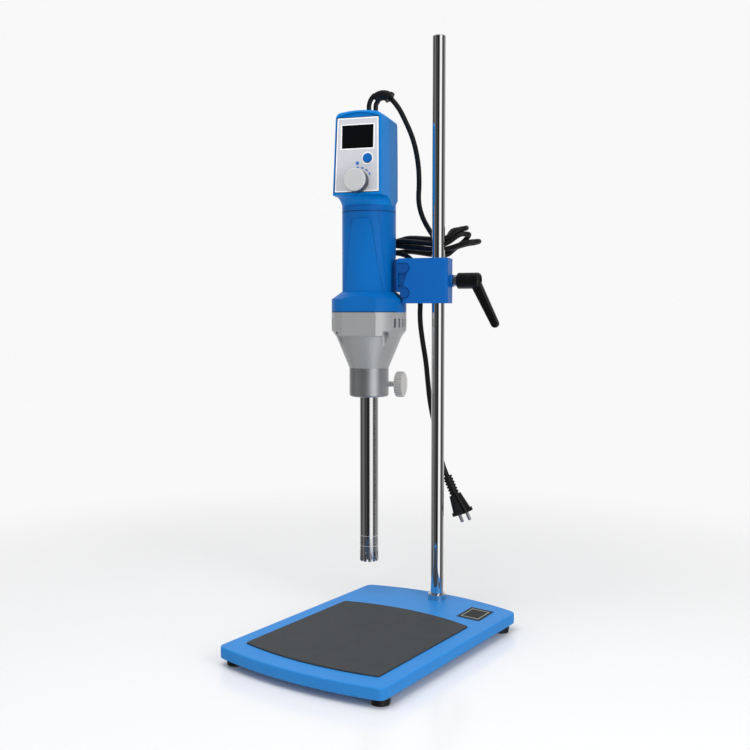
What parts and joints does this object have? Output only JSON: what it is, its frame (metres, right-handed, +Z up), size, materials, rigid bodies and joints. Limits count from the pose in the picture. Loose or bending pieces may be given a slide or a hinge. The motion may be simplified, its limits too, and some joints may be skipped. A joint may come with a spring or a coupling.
{
  "type": "rotor stator homogenizer",
  "caption": "Rotor stator homogenizer: motor head with display box, speed knob and dispersing shaft, clamped to a stand rod on a flat base plate with a mat.",
  "frame": {"origin": "on the bench, midway across and along the footprint of the stand and head, leaving the cord out", "axes": "+Z up along the rod, -Y towards the user at the front of the base plate, +X to the user's right"},
  "size_m": [0.2238, 0.3227, 0.6678],
  "materials": {
    "plate_paint": "satin powder coat, light blue",
    "mat_rubber": "fine grained dark grey",
    "foot_rubber": "matte",
    "screw_steel": "bright zinc",
    "rod_chrome": "polished",
    "collar_steel": "turned",
    "bush_nylon": "natural nylon",
    "body_blue": "satin blue",
    "grip_rubber": "soft touch blue",
    "shell_plastic": "satin moulded blue",
    "black_nylon": "glass filled nylon",
    "stud_steel": "turned",
    "thumb_steel": "knurled stainless",
    "spring_steel": "drawn wire",
    "boot_rubber": "moulded black",
    "cord_jacket": "black cable jacket",
    "tie_plastic": "hook and loop strap",
    "plug_plastic": "moulded black",
    "pin_nickel": "nickel plated",
    "core_steel": "stacked sheets",
    "winding_copper": "varnished copper",
    "shaft_steel": "ground",
    "bar_copper": "turned copper",
    "brush_carbon": "pressed carbon",
    "bearing_steel": "ground",
    "fan_plastic": "moulded",
    "coupling_plastic": "moulded",
    "nose_silver": "silver paint",
    "dark_screws": "black oxide",
    "holder_steel": "turned",
    "tube_steel": "polished stainless",
    "stator_steel": "fine turned stainless",
    "rotor_steel": "milled stainless",
    "bush_ptfe": "white",
    "panel_plastic": "pale grey foil",
    "window_black": "gloss black",
    "module_glass": "black module",
    "board_green": "circuit board",
    "button_blue": "satin blue",
    "switch_black": "moulded",
    "knob_silver": "silver",
    "encoder_steel": "turned"
  },
  "bodies": {
    "stand": {"base_plate": "plate_paint", "work_mat": "mat_rubber", "rubber_feet": "foot_rubber", "foot_screws": "screw_steel", "support_rod": "rod_chrome", "rod_collar": "collar_steel", "rod_screw": "screw_steel"},
    "bush": {"rod_bush": "bush_nylon"},
    "head": {"clamp_block": "body_blue", "head_bracket": "body_blue", "bracket_screws": "screw_steel", "pressure_pad": "bush_nylon", "cord_boot": "boot_rubber", "cord_lead": "cord_jacket", "cord_hank": "cord_jacket", "cord_tie": "tie_plastic", "cord_tail": "cord_jacket", "plug_sleeve": "boot_rubber", "plug_body": "plug_plastic", "plug_pins": "pin_nickel", "motor_barrel": "body_blue", "grip_pad": "grip_rubber", "flange_ring": "body_blue", "field_core": "core_steel", "field_windings": "winding_copper", "carbon_brushes": "brush_carbon", "brush_holders": "black_nylon", "brush_springs": "spring_steel", "upper_bearing": "bearing_steel", "lower_bearing": "bearing_steel", "nose_housing": "nose_silver", "nose_screws": "dark_screws", "tool_holder": "holder_steel", "control_front": "shell_plastic", "control_rear": "shell_plastic", "shell_screws": "screw_steel", "panel_fascia": "panel_plastic", "display_window": "window_black", "display_module": "module_glass", "control_board": "board_green", "button_switch": "switch_black", "encoder_body": "switch_black"},
    "lever_core": {"lever_stud": "stud_steel", "lever_screw": "screw_steel", "lever_spring": "spring_steel"},
    "lever_grip": {"lever_handle": "black_nylon"},
    "knob": {"speed_knob": "knob_silver", "encoder_shaft": "encoder_steel"},
    "button": {"start_button": "button_blue"},
    "thumb": {"thumb_screw": "thumb_steel"},
    "armature": {"motor_shaft": "shaft_steel", "armature_core": "core_steel", "commutator": "bar_copper", "cooling_fan": "fan_plastic", "drive_coupling": "coupling_plastic"},
    "tool": {"tool_tube": "tube_steel", "stator_head": "stator_steel", "tool_bushes": "bush_ptfe"},
    "rotor_drive": {"rotor": "rotor_steel", "rotor_shaft": "shaft_steel"}
  },
  "joints": [
    {"name": "height_slide", "type": "slide", "parent": "stand", "child": "bush", "axis": [0, 0, 1], "range_m": [-0.03, 0.24]},
    {"name": "head_swivel", "type": "hinge", "parent": "bush", "child": "head", "pos_m": [0.01193, 0.1271, 0.391], "axis": [0, 0, 1], "range_deg": [-180, 180]},
    {"name": "lever_turn", "type": "hinge", "parent": "head", "child": "lever_core", "pos_m": [0.03383, 0.13379, 0.391], "axis": [0.9563, 0.2924, 0], "range_deg": [-90, 90]},
    {"name": "lever_lift", "type": "slide", "parent": "lever_core", "child": "lever_grip", "axis": [0.9563, 0.2924, 0], "range_m": [0, 0.004], "stiffness_N_per_m": 800, "deforming": ["lever_spring"]},
    {"name": "speed_knob_turn", "type": "hinge", "parent": "head", "child": "knob", "pos_m": [-0.05302, 0.05906, 0.5015], "axis": [0.2918, -0.9544, 0.063], "range_deg": [-150, 150]},
    {"name": "start_button_press", "type": "slide", "parent": "head", "child": "button", "axis": [-0.2918, 0.9544, -0.063], "range_m": [0, 0.001], "stiffness_N_per_m": 500},
    {"name": "thumb_screw_turn", "type": "hinge", "parent": "head", "child": "thumb", "pos_m": [-0.03541, 0.11263, 0.271], "axis": [0.9563, 0.2924, 0], "range_deg": [-180, 180]},
    {"name": "tool_pull", "type": "slide", "parent": "head", "child": "tool", "axis": [0, 0, -1], "range_m": [0, 0.035]},
    {"name": "armature_spin", "type": "hinge", "parent": "head", "child": "armature", "pos_m": [-0.06793, 0.10269, 0.372], "axis": [0, 0, 1], "continuous": true},
    {"name": "rotor_spin", "type": "hinge", "parent": "tool", "child": "rotor_drive", "pos_m": [-0.06793, 0.10269, 0.0595], "axis": [0, 0, 1], "continuous": true}
  ],
  "couplings": [
    {"joint": "rotor_spin", "follows": "armature_spin", "ratio": 1}
  ]
}
